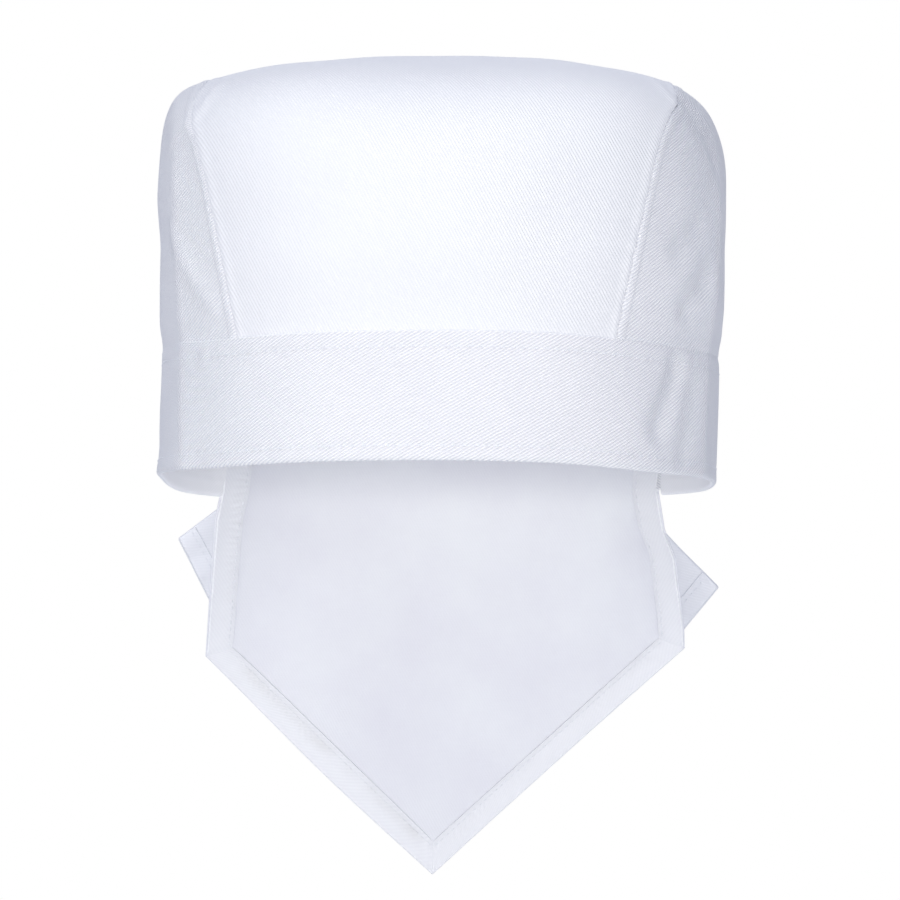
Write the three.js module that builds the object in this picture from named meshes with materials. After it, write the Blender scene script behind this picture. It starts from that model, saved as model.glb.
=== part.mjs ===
// A white chef's bandana cap: a crown of three panels on a folded headband, tied behind,
// with a pointed neck flap hanging inside the tie straps.
//
// Millimetres, +Z up. The front of the cap faces -Y, and left and right are as seen from the
// front, so left is -X. The origin is the middle of the head opening, in the plane of the
// band's lower edge.

import * as THREE from 'three';

// ---------------------------------------------------------------- driving dimensions

const cloth = 0.7; // one layer of twill
const gap = 0.3; // air between pieces that are sewn or lie together
const lining = 0.4; // the stiff interlining inside the band

const openingHalfWidth = 85; // outside of the band, at the ears
const openingHalfDepth = 100; // outside of the band, at the forehead
const openingSquareness = 2.3; // 2 is an ellipse, more is squarer
const bandHeight = 37;
const crownHeight = 124; // from the band's lower edge to the top of the crown
const crownSwell = 2.6; // how far the crown bulges past its own base
const crownSquareness = 2.9; // how flat the crown's top is and how upright its walls
const seamAllowance = 10; // crown cloth held inside the folded band

const frontSeamHalfWidth = 54; // centre panel where it meets the band in front
const shoulderSeamHalfWidth = 70; // centre panel from the crown's front corners to the back
const frontCornerAngle = 38; // degrees up from the forehead, seen from the crown's middle
const backCornerAngle = 140;

// Outline of the neck flap, which starts just below the band's lower edge.
const flapTopLeft = { x: -71.5, z: -3 };
const flapTopRight = { x: 67.5, z: -3 };
const flapCornerLeft = { x: -77.5, z: -55 };
const flapCornerRight = { x: 76, z: -52 };
const flapTip = { x: -6, z: -124 };
const flapHem = 7.5;

const knotCentre = new THREE.Vector3(0, 112, 16);
const strandRadius = 3.8; // a tie strap gathered into the knot
const bightRadius = 8; // bend radius of each knot turn
const bightTilt = 20; // degrees that the left turn leans back from upright
const knotLegEnd = 17; // how far sideways the knot's strands reach

const tieWidth = 38;
const tieThickness = 2 * cloth + gap;
const tieHem = 7.5;
const tiePivot = 6; // a tie swings about a point this far from the knot
const tiePivotRadius = 8;
const leftTieEnd = { x: -77.3, z: -32.2 }; // middle of the tie's hemmed end
const rightTieEnd = { x: 73.8, z: -45.2 };

const twillWhite = { color: 0xf3f4fa, roughness: 0.9 };
const insideWhite = { color: 0xe4e8f2, roughness: 0.92 };
const threadWhite = { color: 0xf8f8fc, roughness: 0.7 };
const interliningWhite = { color: 0xeeeeea, roughness: 0.95 };

// ---------------------------------------------------------------- small helpers

const cap = new THREE.Group();

function addPiece(name, geometry, { color, roughness }) {
  const material = new THREE.MeshStandardMaterial({ color, roughness, metalness: 0 });
  const mesh = new THREE.Mesh(geometry, material);
  mesh.name = name;
  cap.add(mesh);
}

const radians = THREE.MathUtils.degToRad;
const lerp = THREE.MathUtils.lerp;
const smoothstep = (x, from, to) => THREE.MathUtils.smoothstep(x, from, to);
const point = (x, y, z) => new THREE.Vector3(x, y, z);

// Largest t between 0 and far for which inside(t) is still true.
function reach(inside, far) {
  let low = 0;
  let high = far;
  for (let step = 0; step < 40; step += 1) {
    const middle = (low + high) / 2;
    if (inside(middle)) low = middle;
    else high = middle;
  }
  return low;
}

function signedVolume(geometry) {
  const position = geometry.getAttribute('position');
  const corner = (i) => new THREE.Vector3().fromBufferAttribute(position, geometry.index.getX(i));
  let volume = 0;
  for (let i = 0; i < geometry.index.count; i += 3) {
    volume += corner(i).dot(corner(i + 1).cross(corner(i + 2))) / 6;
  }
  return volume;
}

// A sheet of cloth as a closed solid: a box of columns x rows cells whose corners are moved by
// place(across, along, through), each running from 0 to 1. Mirrored sheets are turned right
// side out again.
function bentSheet(columns, rows, place) {
  const geometry = new THREE.BoxGeometry(1, 1, 1, columns, rows, 1);
  const position = geometry.getAttribute('position');
  for (let i = 0; i < position.count; i += 1) {
    const across = position.getX(i) + 0.5;
    const along = position.getY(i) + 0.5;
    const through = position.getZ(i) + 0.5;
    const p = place(across, along, through);
    position.setXYZ(i, p.x, p.y, p.z);
  }
  if (signedVolume(geometry) < 0) {
    const index = geometry.index;
    for (let i = 0; i < index.count; i += 3) {
      const first = index.getX(i);
      index.setX(i, index.getX(i + 1));
      index.setX(i + 1, first);
    }
  }
  return geometry;
}

// The point of surface(s, t) moved along its own normal, away from the given inner point.
function proud(surface, s, t, distance, inner) {
  const e = 1e-3;
  const p = surface(s, t);
  const alongS = surface(s + e, t).sub(surface(s - e, t));
  const alongT = surface(s, t + e).sub(surface(s, t - e));
  const normal = alongS.cross(alongT).normalize();
  if (normal.dot(p.clone().sub(inner)) < 0) normal.negate();
  return p.addScaledVector(normal, distance);
}

// ---------------------------------------------------------------- shape of the cap

const crownMiddle = point(0, 0, bandHeight);
const crownInset = cloth + gap; // crown cloth lies one layer inside the band's outer face

// Distance from the Z axis to the band's outer face, less inset, in direction azimuth.
function outlineRadius(azimuth, inset) {
  const c = Math.abs(Math.cos(azimuth)) / (openingHalfWidth - inset);
  const s = Math.abs(Math.sin(azimuth)) / (openingHalfDepth - inset);
  return (c ** openingSquareness + s ** openingSquareness) ** (-1 / openingSquareness);
}

function outlinePoint(azimuth, inset, z) {
  const r = outlineRadius(azimuth, inset);
  return point(r * Math.cos(azimuth), r * Math.sin(azimuth), z);
}

// How tightly the crown turns over at its top edge: crisp at the sides, soft behind.
function edgeSharpness(azimuth) {
  const side = 10.5;
  const front = 5.5;
  const back = 2.6;
  const facing = Math.sin(azimuth);
  return lerp(side, facing < 0 ? front : back, facing * facing);
}

// Upright walls up to the band's top edge, then a swelling crown that closes at crownHeight.
function insideCrown(p) {
  const azimuth = Math.atan2(p.y, p.x);
  const swell = crownSwell * smoothstep(p.z, bandHeight, bandHeight + 25);
  const outward = Math.hypot(p.x, p.y) / outlineRadius(azimuth, crownInset - swell);
  const upward = Math.max(0, (p.z - bandHeight) / (crownHeight - bandHeight));
  return outward ** crownSquareness + upward ** edgeSharpness(azimuth) < 1;
}

// The crown's surface at sideways distance x and at an angle over the head: 0 is the
// forehead, 90 the top and 180 the back. Below the band's top edge the angle goes past these.
function crownPoint(x, overHead) {
  const a = radians(overHead);
  const at = (r) => point(x, -r * Math.cos(a), bandHeight + r * Math.sin(a));
  return at(reach((r) => insideCrown(at(r)), 200));
}

// The crown's surface in the direction of p, seen from the crown's middle.
function crownToward(p) {
  const direction = p.clone().sub(crownMiddle).normalize();
  const at = (r) => crownMiddle.clone().addScaledVector(direction, r);
  return at(reach((r) => insideCrown(at(r)), 200));
}

// Half the centre panel's width at an angle over the head: it flares up to the front corners
// and keeps that width over the top and down the back.
function seamHalfWidth(overHead) {
  const flare = THREE.MathUtils.clamp(overHead / frontCornerAngle, 0, 1);
  return lerp(frontSeamHalfWidth, shoulderSeamHalfWidth, flare);
}

// Angle over the head of the wall at height z, at the forehead (below 0) or back (past 180).
const frontAngleAt = (z) => -THREE.MathUtils.radToDeg(Math.atan2(bandHeight - z, openingHalfDepth));
const backAngleAt = (z) => 180 - frontAngleAt(z);

// ---------------------------------------------------------------- crown

const centrePanelHem = 9; // height of the centre panel's lower end, where the flap takes over

function centrePanelPoint(across, along) {
  const overHead = lerp(frontAngleAt(bandHeight - seamAllowance), backAngleAt(centrePanelHem), along);
  const halfWidth = seamHalfWidth(overHead) - gap;
  return crownPoint(lerp(-halfWidth, halfWidth, across), overHead);
}

function centrePanel() {
  return bentSheet(10, 54, (across, along, through) =>
    proud(centrePanelPoint, across, along, -cloth * through, crownMiddle));
}

// A patch between four edges: bottom and top run along, front and back run up.
function coonsPatch(bottom, top, front, back) {
  return (along, up) => {
    const p = bottom(along).multiplyScalar(1 - up).addScaledVector(top(along), up);
    p.addScaledVector(front(up), 1 - along).addScaledVector(back(up), along);
    p.addScaledVector(bottom(0), -(1 - along) * (1 - up)).addScaledVector(bottom(1), -along * (1 - up));
    return p.addScaledVector(top(0), -(1 - along) * up).addScaledVector(top(1), -along * up);
  };
}

// side is +1 for the panel at +X and -1 for the panel at -X.
function sidePanelPoint(side) {
  const foot = bandHeight - seamAllowance;
  const seam = (overHead) => crownPoint(side * (seamHalfWidth(overHead) + gap), overHead);
  const front = (up) => seam(lerp(frontAngleAt(foot), frontCornerAngle, up));
  const back = (up) => seam(lerp(backAngleAt(foot), backCornerAngle, up));
  const top = (along) => seam(lerp(frontCornerAngle, backCornerAngle, along));
  const from = Math.atan2(front(0).y, front(0).x * side);
  const to = Math.atan2(back(0).y, back(0).x * side);
  const bottom = (along) => {
    const p = outlinePoint(lerp(from, to, along), crownInset, foot);
    return point(side * p.x, p.y, p.z);
  };
  const patch = coonsPatch(bottom, top, front, back);
  return (along, up) => crownToward(patch(along, up));
}

function sidePanel(side) {
  const surface = sidePanelPoint(side);
  return bentSheet(22, 12, (along, up, through) =>
    proud(surface, along, up, -cloth * through, crownMiddle));
}

// A row of topstitching beside a crown seam, just proud of the side panel.
function seamStitching(side) {
  const besideSeam = 1.6;
  const width = 0.5;
  const row = (along, across) => {
    const overHead = lerp(2, 172, along);
    return crownPoint(side * (seamHalfWidth(overHead) + besideSeam + width * across), overHead);
  };
  return bentSheet(60, 1, (along, across, through) =>
    proud(row, along, across, gap + cloth * through / 2, crownMiddle));
}

// ---------------------------------------------------------------- headband

const interliningRoom = crownInset + cloth + gap; // inset of the interlining's outer face
const bandThickness = interliningRoom + lining + gap + cloth;
const bandEnd = Math.atan2(crownPoint(shoulderSeamHalfWidth, 180).y, shoulderSeamHalfWidth);

// From the band's end at -X, round the forehead, to its end at +X.
const roundTheFront = (along) => lerp(-Math.PI - bandEnd, bandEnd, along);

// The folded strip in section: down the outside, round the fold and up the inside.
function foldedSection(down, depth) {
  const legShare = 0.3;
  const radius = bandThickness / 2 - depth;
  const foldHeight = bandThickness / 2;
  if (down <= legShare) return { inset: depth, z: lerp(bandHeight, foldHeight, down / legShare) };
  if (down >= 1 - legShare) {
    return { inset: bandThickness - depth, z: lerp(foldHeight, bandHeight, (down - 1) / legShare + 1) };
  }
  const turn = Math.PI * (down - legShare) / (1 - 2 * legShare);
  return { inset: foldHeight - radius * Math.cos(turn), z: foldHeight - radius * Math.sin(turn) };
}

function band() {
  return bentSheet(72, 10, (along, down, through) => {
    const { inset, z } = foldedSection(down, cloth * through);
    return outlinePoint(roundTheFront(along), inset, z);
  });
}

function bandInterlining() {
  const lower = bandThickness / 2;
  const upper = bandHeight - 2;
  return bentSheet(72, 1, (along, up, through) =>
    outlinePoint(roundTheFront(along), interliningRoom + lining * through, lerp(lower, upper, up)));
}

// A row of topstitching round the band at height z, just proud of its outer face.
function bandStitching(z) {
  const width = 0.5;
  return bentSheet(72, 1, (along, up, through) =>
    outlinePoint(roundTheFront(along), -gap - cloth * through / 2, z + width * (up - 0.5)));
}

// ---------------------------------------------------------------- straps and knot

// Directions from the knot's centre to the strap's strand of each turn; the tie leaves on
// the opposite side. The two turns hook through each other at right angles.
const tilt = radians(bightTilt);
const strandSide = {
  '-1': point(0, -Math.sin(tilt), Math.cos(tilt)),
  '1': point(0, -Math.cos(tilt), -Math.sin(tilt)),
};

function strapStrandEnd(side) {
  const p = knotCentre.clone().addScaledVector(strandSide[side], bightRadius);
  return p.setX(side * knotLegEnd);
}

function tieStrandEnd(side) {
  const p = knotCentre.clone().addScaledVector(strandSide[side], -bightRadius);
  return p.setX(side * knotLegEnd);
}

// In along one strand, round the bend and out along the other.
class KnotTurn extends THREE.Curve {
  constructor(side) {
    super();
    this.side = side;
    this.bendCentre = 0.5 * (strandRadius * 2 + gap + 0.1) - bightRadius;
    this.leg = knotLegEnd + this.bendCentre;
    this.length = 2 * this.leg + Math.PI * bightRadius;
  }

  getPoint(t) {
    const along = t * this.length;
    const turn = THREE.MathUtils.clamp((along - this.leg) / bightRadius, 0, Math.PI);
    const straight = Math.min(along, this.length - along, this.leg);
    const x = -knotLegEnd + straight + (turn > 0 && turn < Math.PI ? bightRadius * Math.sin(turn) : 0);
    const p = knotCentre.clone().addScaledVector(strandSide[this.side], bightRadius * Math.cos(turn));
    return p.setX(-this.side * x);
  }
}

function knotTurn(side) {
  const section = new THREE.Shape(new THREE.EllipseCurve(0, 0, strandRadius, strandRadius).getPoints(10));
  return new THREE.ExtrudeGeometry(section, { steps: 22, extrudePath: new KnotTurn(side), bevelEnabled: false });
}

// The free strap from the band's end over the back of the crown, gathered towards the knot.
function strap(side) {
  const inner = 0.5; // clear of the crown's cloth
  const knotClearance = 1.2;
  const knotEnd = strapStrandEnd(side);
  const start = bandEnd + 0.3 / openingHalfWidth;
  const endAzimuth = Math.atan2(knotEnd.y, Math.abs(knotEnd.x));
  const endRadius = Math.hypot(knotEnd.x, knotEnd.y);
  return bentSheet(16, 4, (along, up, through) => {
    const azimuth = lerp(start, endAzimuth - knotClearance / endRadius, along);
    const gather = smoothstep(along, 0, 1);
    const thickness = lerp(tieThickness, 2 * strandRadius, gather ** 2);
    const clear = outlineRadius(azimuth, crownInset - inner);
    const middle = lerp(clear + thickness / 2, endRadius, smoothstep(along, 0.35, 1));
    const radius = Math.max(clear, middle - thickness / 2) + thickness * through;
    const halfHeight = lerp(bandHeight / 2, strandRadius, gather);
    const z = lerp(bandHeight / 2, knotEnd.z, gather) + halfHeight * (2 * up - 1);
    return point(side * radius * Math.cos(azimuth), radius * Math.sin(azimuth), z);
  });
}

// ---------------------------------------------------------------- tie ends

const tieEnds = { '-1': leftTieEnd, '1': rightTieEnd };

// Direction and length of a tie from the knot's strand to its hemmed end.
function tieLine(side) {
  const root = tieStrandEnd(side);
  root.x += side * 2 * gap;
  const tip = point(tieEnds[side].x, root.y, tieEnds[side].z);
  const direction = tip.clone().sub(root);
  const length = direction.length();
  direction.normalize();
  return { root, direction, length, across: point(-direction.z, 0, direction.x) };
}

function tieHalfWidth(distance) {
  return lerp(strandRadius, tieWidth / 2, smoothstep(distance, 0, 38));
}

// A stretch of a tie. from and to give its ends for each share of the half width, from -1 to 1,
// and its first edge is upright where it meets the knot.
function tieStrip(side, columns, from, to, extraThickness = 0) {
  const { root, direction, across } = tieLine(side);
  const upright = point(0, 0, Math.sign(across.z));
  return bentSheet(columns, 4, (along, over, through) => {
    const share = 2 * over - 1;
    const distance = lerp(from(share), to(share), along);
    const leaving = smoothstep(distance, 0, tiePivot);
    const sideways = upright.clone().lerp(across, leaving).normalize();
    const thickness = lerp(2 * strandRadius, tieThickness, smoothstep(distance, 0, 16)) + extraThickness;
    const p = root.clone().addScaledVector(direction, distance);
    p.addScaledVector(sideways, tieHalfWidth(distance) * share);
    return p.setY(root.y + thickness * (through - 0.5));
  });
}

// The root ends in a round edge about the point where the tie swings, and the rest of the tie
// begins just outside that edge.
const roundEdge = (radius) => (share) =>
  tiePivot + reach((t) => Math.hypot(t, tieHalfWidth(tiePivot + t) * share) < radius, radius);

function tieRoot(side) {
  return tieStrip(side, 4, () => 0, roundEdge(tiePivotRadius));
}

function tieEnd(side) {
  const hemLine = tieLine(side).length - tieHem - gap;
  return tieStrip(side, 8, roundEdge(tiePivotRadius + 2 * gap), () => hemLine);
}

// The last stretch of a tie, turned back on itself and sewn: half as thick again.
function tieEndHem(side) {
  const { length } = tieLine(side);
  return tieStrip(side, 2, () => length - tieHem, () => length, tieThickness / 2);
}

// ---------------------------------------------------------------- neck flap

// The flap keeps the round of the head at the top and falls flatter below.
function flapSurface(x, z) {
  const width = openingHalfWidth - crownInset;
  const depth = openingHalfDepth - crownInset;
  const round = depth * (1 - (Math.abs(x) / width) ** openingSquareness) ** (1 / openingSquareness);
  const flat = 95 - 12 * (x / flapCornerRight.x) ** 2;
  return point(x, lerp(round, flat, smoothstep(-z, -20, 75)), z);
}

const mix = (a, b, t) => ({ x: lerp(a.x, b.x, t), z: lerp(a.z, b.z, t) });

function flapPanel() {
  return bentSheet(24, 10, (across, down, through) => {
    const top = mix(flapTopLeft, flapTopRight, across);
    const half = across * 2;
    const lower = half < 1 ? mix(flapCornerLeft, flapTip, half) : mix(flapTip, flapCornerRight, half - 1);
    const { x, z } = mix(top, lower, down);
    return proud(flapSurface, x, z, cloth * through, point(0, 0, z));
  });
}

// The corner of the outline moved in by the hem's width from both of its edges.
function mitre(before, corner, after) {
  const unit = (a, b) => new THREE.Vector2(b.x - a.x, b.z - a.z).normalize();
  const toBefore = unit(corner, before);
  const toAfter = unit(corner, after);
  const halfAngle = Math.acos(toBefore.dot(toAfter)) / 2;
  const inward = toBefore.add(toAfter).setLength(flapHem / Math.sin(halfAngle));
  return { x: corner.x + inward.x, z: corner.z + inward.y };
}

// A turned hem on the flap's inner face, between the outer edge and the inner fold.
function flapHemStrip(outerStart, outerEnd, innerStart, innerEnd) {
  const trim = gap / 100;
  return bentSheet(10, 2, (along, inward, through) => {
    const t = lerp(trim, 1 - trim, along);
    const { x, z } = mix(mix(outerStart, outerEnd, t), mix(innerStart, innerEnd, t), inward);
    return proud(flapSurface, x, z, -2 * gap - cloth * through, point(0, 0, z));
  });
}

const innerTopLeft = { x: flapTopLeft.x + flapHem, z: flapTopLeft.z };
const innerTopRight = { x: flapTopRight.x - flapHem, z: flapTopRight.z };
const innerCornerLeft = mitre(flapTopLeft, flapCornerLeft, flapTip);
const innerCornerRight = mitre(flapTopRight, flapCornerRight, flapTip);
const innerTip = mitre(flapCornerLeft, flapTip, flapCornerRight);

// ---------------------------------------------------------------- assembly

const bandStitchInset = 4.5; // from each edge of the band

addPiece('centre_panel', centrePanel(), twillWhite);
addPiece('left_side_panel', sidePanel(-1), twillWhite);
addPiece('right_side_panel', sidePanel(1), twillWhite);
addPiece('left_seam_stitching', seamStitching(-1), threadWhite);
addPiece('right_seam_stitching', seamStitching(1), threadWhite);
addPiece('band', band(), twillWhite);
addPiece('band_interlining', bandInterlining(), interliningWhite);
addPiece('band_top_stitching', bandStitching(bandHeight - bandStitchInset), threadWhite);
addPiece('band_bottom_stitching', bandStitching(bandStitchInset), threadWhite);

for (const [side, name] of [[-1, 'left'], [1, 'right']]) {
  addPiece(`${name}_strap`, strap(side), twillWhite);
  addPiece(`${name}_knot_turn`, knotTurn(side), twillWhite);
  addPiece(`${name}_tie_root`, tieRoot(side), twillWhite);
  addPiece(`${name}_tie_end`, tieEnd(side), twillWhite);
  addPiece(`${name}_tie_end_hem`, tieEndHem(side), twillWhite);
}

addPiece('flap_panel', flapPanel(), insideWhite);
addPiece('flap_left_hem', flapHemStrip(flapTopLeft, flapCornerLeft, innerTopLeft, innerCornerLeft), twillWhite);
addPiece('flap_right_hem', flapHemStrip(flapTopRight, flapCornerRight, innerTopRight, innerCornerRight), twillWhite);
addPiece('flap_lower_left_hem', flapHemStrip(flapCornerLeft, flapTip, innerCornerLeft, innerTip), twillWhite);
addPiece('flap_lower_right_hem', flapHemStrip(flapCornerRight, flapTip, innerCornerRight, innerTip), twillWhite);

export default cap;
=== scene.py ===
"""The looks of a white chef's bandana cap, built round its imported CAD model.

Shapes are worked out in millimetres in the CAD's frame, and placed in Blender in metres. The front of the
cap faces -Y. Left and right are as seen from the front, so side is -1 for left and 1 for right.
"""

import math

import bpy
import numpy as np
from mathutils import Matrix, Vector


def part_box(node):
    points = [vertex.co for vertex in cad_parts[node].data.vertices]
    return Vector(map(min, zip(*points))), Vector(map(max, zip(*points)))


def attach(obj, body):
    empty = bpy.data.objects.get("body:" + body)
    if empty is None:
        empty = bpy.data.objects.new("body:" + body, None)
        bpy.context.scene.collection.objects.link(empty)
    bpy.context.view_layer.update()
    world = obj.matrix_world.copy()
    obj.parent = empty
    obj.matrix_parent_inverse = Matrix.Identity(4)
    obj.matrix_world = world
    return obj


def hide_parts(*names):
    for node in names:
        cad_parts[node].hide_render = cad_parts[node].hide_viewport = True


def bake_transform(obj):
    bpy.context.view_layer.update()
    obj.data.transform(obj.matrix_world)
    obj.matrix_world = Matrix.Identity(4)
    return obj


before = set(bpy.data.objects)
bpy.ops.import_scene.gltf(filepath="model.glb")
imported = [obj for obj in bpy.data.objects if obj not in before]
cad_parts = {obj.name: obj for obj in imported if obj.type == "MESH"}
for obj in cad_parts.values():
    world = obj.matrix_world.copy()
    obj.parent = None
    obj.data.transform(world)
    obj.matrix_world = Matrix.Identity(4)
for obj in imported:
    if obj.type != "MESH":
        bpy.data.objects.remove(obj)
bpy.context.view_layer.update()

MM = 0.001

# -------------------- camera

CAMERA_DISTANCE = 1.5
CAMERA_AZIMUTH = math.radians(1.5)
CAMERA_ELEVATION = math.radians(-2.8)
CAMERA_AIM = Vector((0.003, 0, 0.007))
VIEW_WIDTH = 0.2744  # metres across the picture at the aim


def link_facing(name, data, where, aim):
    """Link a camera or light into the scene at a place, facing a point."""
    thing = bpy.data.objects.new(name, data)
    thing.location = where
    thing.rotation_euler = (Vector(aim) - Vector(where)).to_track_quat("-Z", "Y").to_euler()
    bpy.context.scene.collection.objects.link(thing)
    return thing


def make_camera():
    data = bpy.data.cameras.new("camera")
    data.sensor_width = 36
    data.lens = data.sensor_width * CAMERA_DISTANCE / VIEW_WIDTH
    level = math.cos(CAMERA_ELEVATION)
    towards = Vector((math.sin(CAMERA_AZIMUTH) * level, -math.cos(CAMERA_AZIMUTH) * level,
                      math.sin(CAMERA_ELEVATION)))
    where = CAMERA_AIM + towards * CAMERA_DISTANCE
    bpy.context.scene.camera = link_facing("camera", data, where, CAMERA_AIM)


make_camera()

# -------------------- sizes


def box_mm(node):
    low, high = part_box(node)
    return np.array(low) / MM, np.array(high) / MM


band_low, band_high = box_mm("band")
HALF_WIDTH = band_high[0]
HALF_DEPTH = -band_low[1]
BAND_HEIGHT = band_high[2]
CROWN_HEIGHT = box_mm("centre_panel")[1][2]

CLOTH = 0.7  # one layer of twill
GAP = 0.3
CROWN_INSET = CLOTH + GAP  # the crown lies one layer inside the band's outer face
OUTLINE_SQUARENESS = 2.3
CROWN_SQUARENESS = 2.9
SEAM_ALLOWANCE = 10
ALLOWANCE_FOOT = BAND_HEIGHT - SEAM_ALLOWANCE  # the crown's cloth ends here, inside the folded band
SEAM_FOOT = {-1: 56.6, 1: 53.1}  # half width of the centre panel at the band
SEAM_SHOULDER = 70  # and from the crown's front corners to the back
LEFT_SEAM_LEAN = 3  # how far the left seam leans in over the top
CROWN_SLACK = 0.8  # worn cloth settles this far below its cut height
FRONT_CORNER = {-1: 46.0, 1: 52.0}  # degrees over the head
BACK_CORNER = 140.0
CROWN_MIDDLE = np.array([0, 0, BAND_HEIGHT])

# -------------------- numbers


def lerp(a, b, t):
    return a + (b - a) * t


def smooth(x, start, end):
    """0 before start, 1 after end and an S between them."""
    t = np.clip((np.asarray(x, float) - start) / (end - start), 0, 1)
    return t * t * (3 - 2 * t)


def bump(distance, width):
    """A rounded hill of height 1 at distance 0."""
    return np.exp(-(np.asarray(distance) / width) ** 2)


def fold_line(x, y, start, end, width):
    """A rounded hill of height 1 along a line on the flat cloth, fading out at its ends."""
    span = np.subtract(end, start)
    length = np.linalg.norm(span)
    along = ((x - start[0]) * span[0] + (y - start[1]) * span[1]) / length
    across = ((x - start[0]) * span[1] - (y - start[1]) * span[0]) / length
    return bump(across, width) * smooth(along, -width, width) * smooth(length - along, -width, width)


def folds(x, y, places):
    """Heights of several fold lines, each given by its start, end, width and height."""
    return sum(height * fold_line(x, y, start, end, width) for start, end, width, height in places)


def crease(distance, width):
    """A narrow-topped ridge, 1 high at distance 0, with long straight flanks."""
    top = 3.0
    return np.exp((top - np.sqrt(np.asarray(distance) ** 2 + top ** 2)) / width)


def unit(v):
    return v / np.maximum(np.linalg.norm(v, axis=-1, keepdims=True), 1e-12)


def soft_noise(x, y, size, seed):
    """Smooth random hills and hollows over the plane (x, y), about size mm apart."""
    cells = 64
    lattice = np.random.default_rng(seed).standard_normal((cells, cells))
    gx, gy = np.broadcast_arrays(np.asarray(x) / size, np.asarray(y) / size)
    ix, iy = np.floor(gx).astype(int), np.floor(gy).astype(int)
    fx, fy = gx - ix, gy - iy
    fx, fy = fx * fx * (3 - 2 * fx), fy * fy * (3 - 2 * fy)

    def corner(dx, dy):
        return lattice[(ix + dx) % cells, (iy + dy) % cells]

    low = lerp(corner(0, 0), corner(1, 0), fx)
    high = lerp(corner(0, 1), corner(1, 1), fx)
    return lerp(low, high, fy)


def arc_length(path):
    steps = np.linalg.norm(np.diff(path, axis=0), axis=1)
    return np.concatenate([[0], np.cumsum(steps)])


def resample(path, spacing):
    """The same path with points spacing mm apart."""
    along = arc_length(path)
    wanted = np.linspace(0, along[-1], max(2, int(round(along[-1] / spacing)) + 1))
    return np.stack([np.interp(wanted, along, path[:, k]) for k in range(3)], 1)


def smooth_path(path, passes):
    path = path.copy()
    for _ in range(passes):
        path[1:-1] = (path[:-2] + 2 * path[1:-1] + path[2:]) / 4
    return path


def nearest(path, grid):
    """Distance from each grid point to a path, and how far along the path that is."""
    chunk = 4000  # points worked on at once
    along = arc_length(path)
    forward = unit(np.gradient(path, axis=0))
    flat = grid.reshape(-1, 3)
    distance, where = np.empty(len(flat)), np.empty(len(flat))
    for first in range(0, len(flat), chunk):
        part = flat[first:first + chunk]
        index = np.linalg.norm(part[:, None] - path[None], axis=2).argmin(1)
        offset = part - path[index]
        ahead = np.sum(offset * forward[index], 1)
        distance[first:first + chunk] = np.linalg.norm(offset - ahead[:, None] * forward[index], axis=1)
        where[first:first + chunk] = along[index] + ahead
    return distance.reshape(grid.shape[:-1]), where.reshape(grid.shape[:-1])


def azimuth_of(p):
    return np.arctan2(p[..., 1], p[..., 0])


def round_axis(radius, azimuth, z):
    """Points at a distance and a direction from the Z axis, and a height."""
    return np.stack(np.broadcast_arrays(radius * np.cos(azimuth), radius * np.sin(azimuth), z), -1)


def grid_normals(grid, away_from):
    """Unit normals of a grid of points, on the side away from a point."""
    normal = unit(np.cross(np.gradient(grid, axis=0), np.gradient(grid, axis=1)))
    facing = np.sum(normal * (grid - away_from))
    return normal if facing > 0 else -normal


# -------------------- materials


class Nodes:
    """Short ways to add shader nodes to a material."""

    def __init__(self, name):
        self.material = bpy.data.materials.new(name)
        self.material.use_nodes = True
        self.tree = self.material.node_tree
        self.shader = self.tree.nodes["Principled BSDF"]

    def link(self, value, socket):
        if hasattr(value, "is_output"):
            self.tree.links.new(value, socket)
        else:
            socket.default_value = value

    def add(self, kind, inputs=None, **settings):
        node = self.tree.nodes.new(kind)
        for key, value in settings.items():
            setattr(node, key, value)
        for key, value in (inputs or {}).items():
            self.link(value, node.inputs[key])
        return node

    def math(self, operation, a, b=0.0, c=0.0):
        return self.add("ShaderNodeMath", {0: a, 1: b, 2: c}, operation=operation).outputs[0]

    def total(self, start, *terms):
        """start plus the product of each pair in terms."""
        for value, factor in terms:
            start = self.math("MULTIPLY_ADD", value, factor, start)
        return start

    def wave(self, turns):
        """The sine of a number of whole turns."""
        return self.math("SINE", self.math("MULTIPLY", turns, 2 * math.pi))

    def grain(self):
        """The cloth's own coordinates in metres, together and one by one."""
        both = self.add("ShaderNodeUVMap", uv_map="grain").outputs["UV"]
        parts = self.add("ShaderNodeSeparateXYZ", {0: both}).outputs
        return both, parts["X"], parts["Y"]

    def noise(self, vector, scale, detail):
        node = self.add("ShaderNodeTexNoise", {"Vector": vector, "Scale": scale, "Detail": detail})
        return node.outputs["Fac"]

    def scaled(self, vector, x, y, z=1.0):
        return self.add("ShaderNodeMapping", {"Vector": vector, "Scale": (x, y, z)}).outputs["Vector"]

    def mix(self, factor, a, b):
        inputs = {"Factor": factor, "A": (*a, 1), "B": (*b, 1)}
        return self.add("ShaderNodeMix", inputs, data_type="RGBA").outputs["Result"]

    def bump(self, height, distance, strength=1.0, under=None):
        node = self.add("ShaderNodeBump", {"Height": height, "Distance": distance, "Strength": strength})
        if under is not None:
            self.link(under, node.inputs["Normal"])
        return node.outputs["Normal"]

    def paint(self, colour, roughness, normal=None):
        self.link(colour, self.shader.inputs["Base Color"])
        self.link(roughness, self.shader.inputs["Roughness"])
        if normal is not None:
            self.link(normal, self.shader.inputs["Normal"])


RIB_PITCH = 0.00085  # metres from one twill rib to the next
FLOAT_PITCH = 1.3 * RIB_PITCH  # and from one float of yarn to the next along a rib
FLOAT_SHIFT = 0.37  # part of a float by which the next rib is shifted
RIB_WANDER = 0.3  # part of the pitch by which a rib strays
YARNS_ACROSS, YARNS_ALONG = 2400, 160  # noise per metre across and along the yarns
THREAD_TWIST = 0.0006  # metres per turn of sewing thread


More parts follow.
